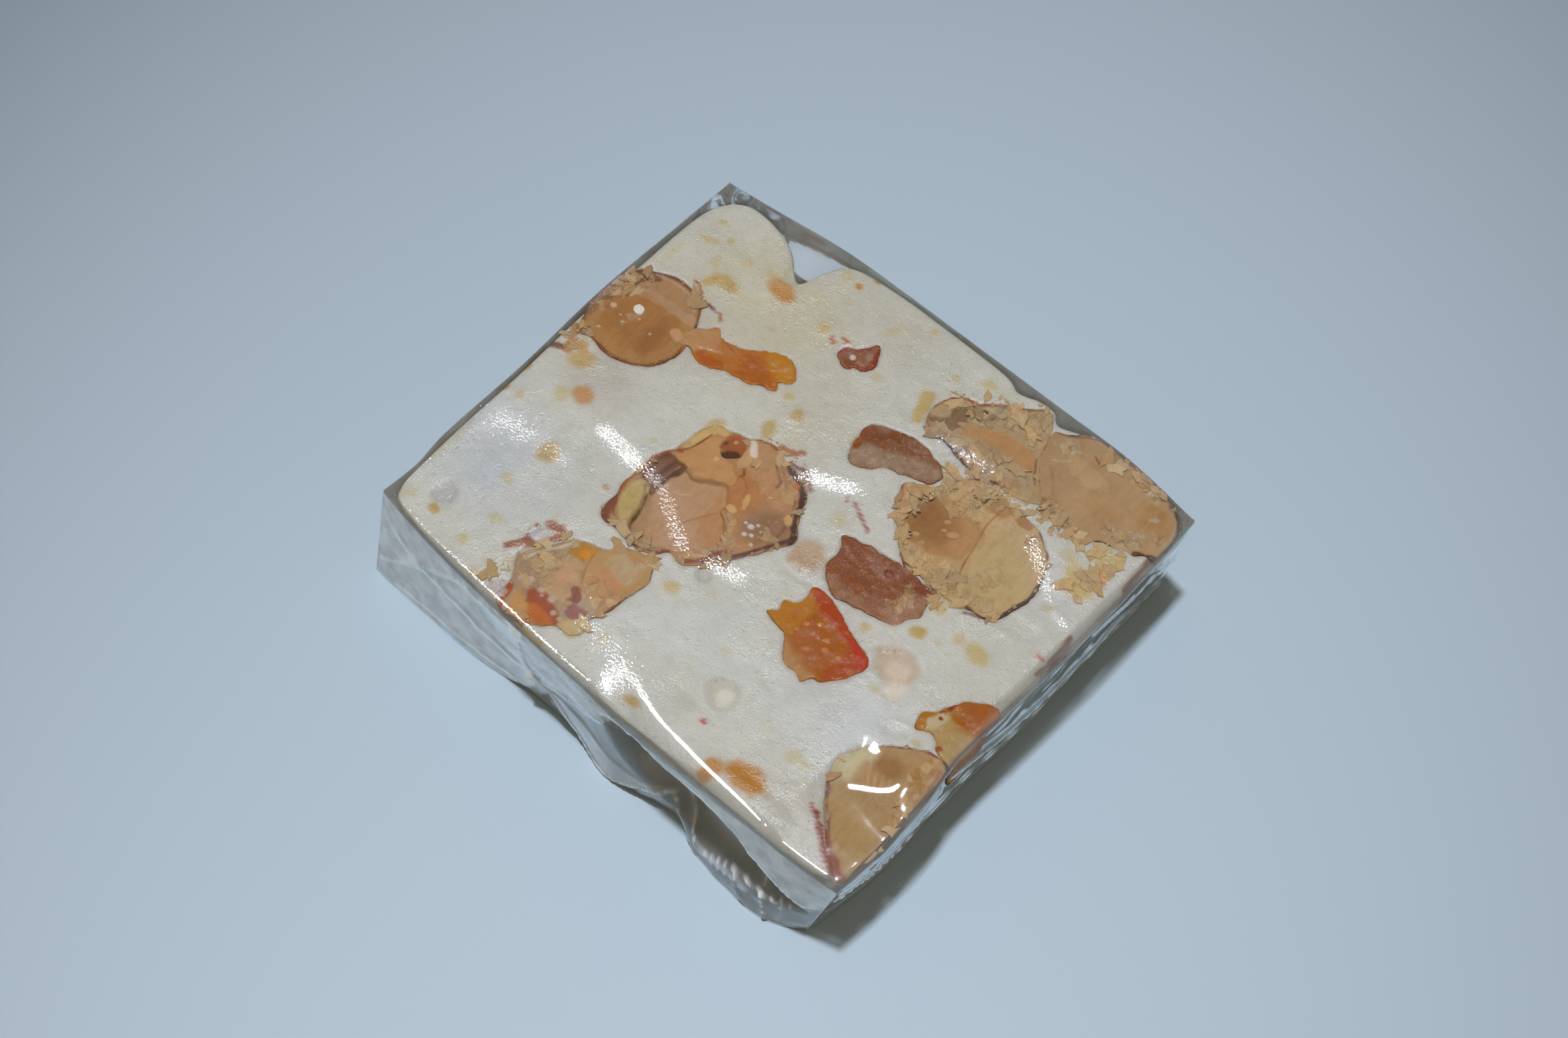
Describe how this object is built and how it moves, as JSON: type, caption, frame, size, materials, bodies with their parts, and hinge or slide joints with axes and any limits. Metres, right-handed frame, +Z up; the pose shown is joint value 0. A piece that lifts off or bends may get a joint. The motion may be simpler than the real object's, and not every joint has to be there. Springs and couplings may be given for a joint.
{
  "type": "nougat bar",
  "caption": "Square slab of almond nougat with candied peel, cut face up, wrapped in clear folded film.",
  "frame": {"origin": "middle of the underside that the slab lies on", "axes": "+Z up out of the cut face, +X along the slab's longer side, and the folded ends of the film face -Y and +Y"},
  "size_m": [0.0545, 0.0489, 0.0127],
  "materials": {
    "nougat": "satin",
    "almond": "matte",
    "candied_peel": "satin",
    "candied_fruit": "satin",
    "clear_film": "gloss"
  },
  "bodies": {
    "root": {"wrapped_block": "nougat", "almond_left": "almond", "almond_back_left": "almond", "almond_back_right": "almond", "almond_right": "almond", "almond_centre": "almond", "almond_front": "almond", "almond_corner": "almond", "peel_left": "candied_peel", "peel_centre": "candied_peel", "peel_right": "candied_peel", "fruit_back": "candied_fruit", "fruit_right": "candied_fruit", "fruit_chip": "candied_fruit"}
  },
  "joints": []
}
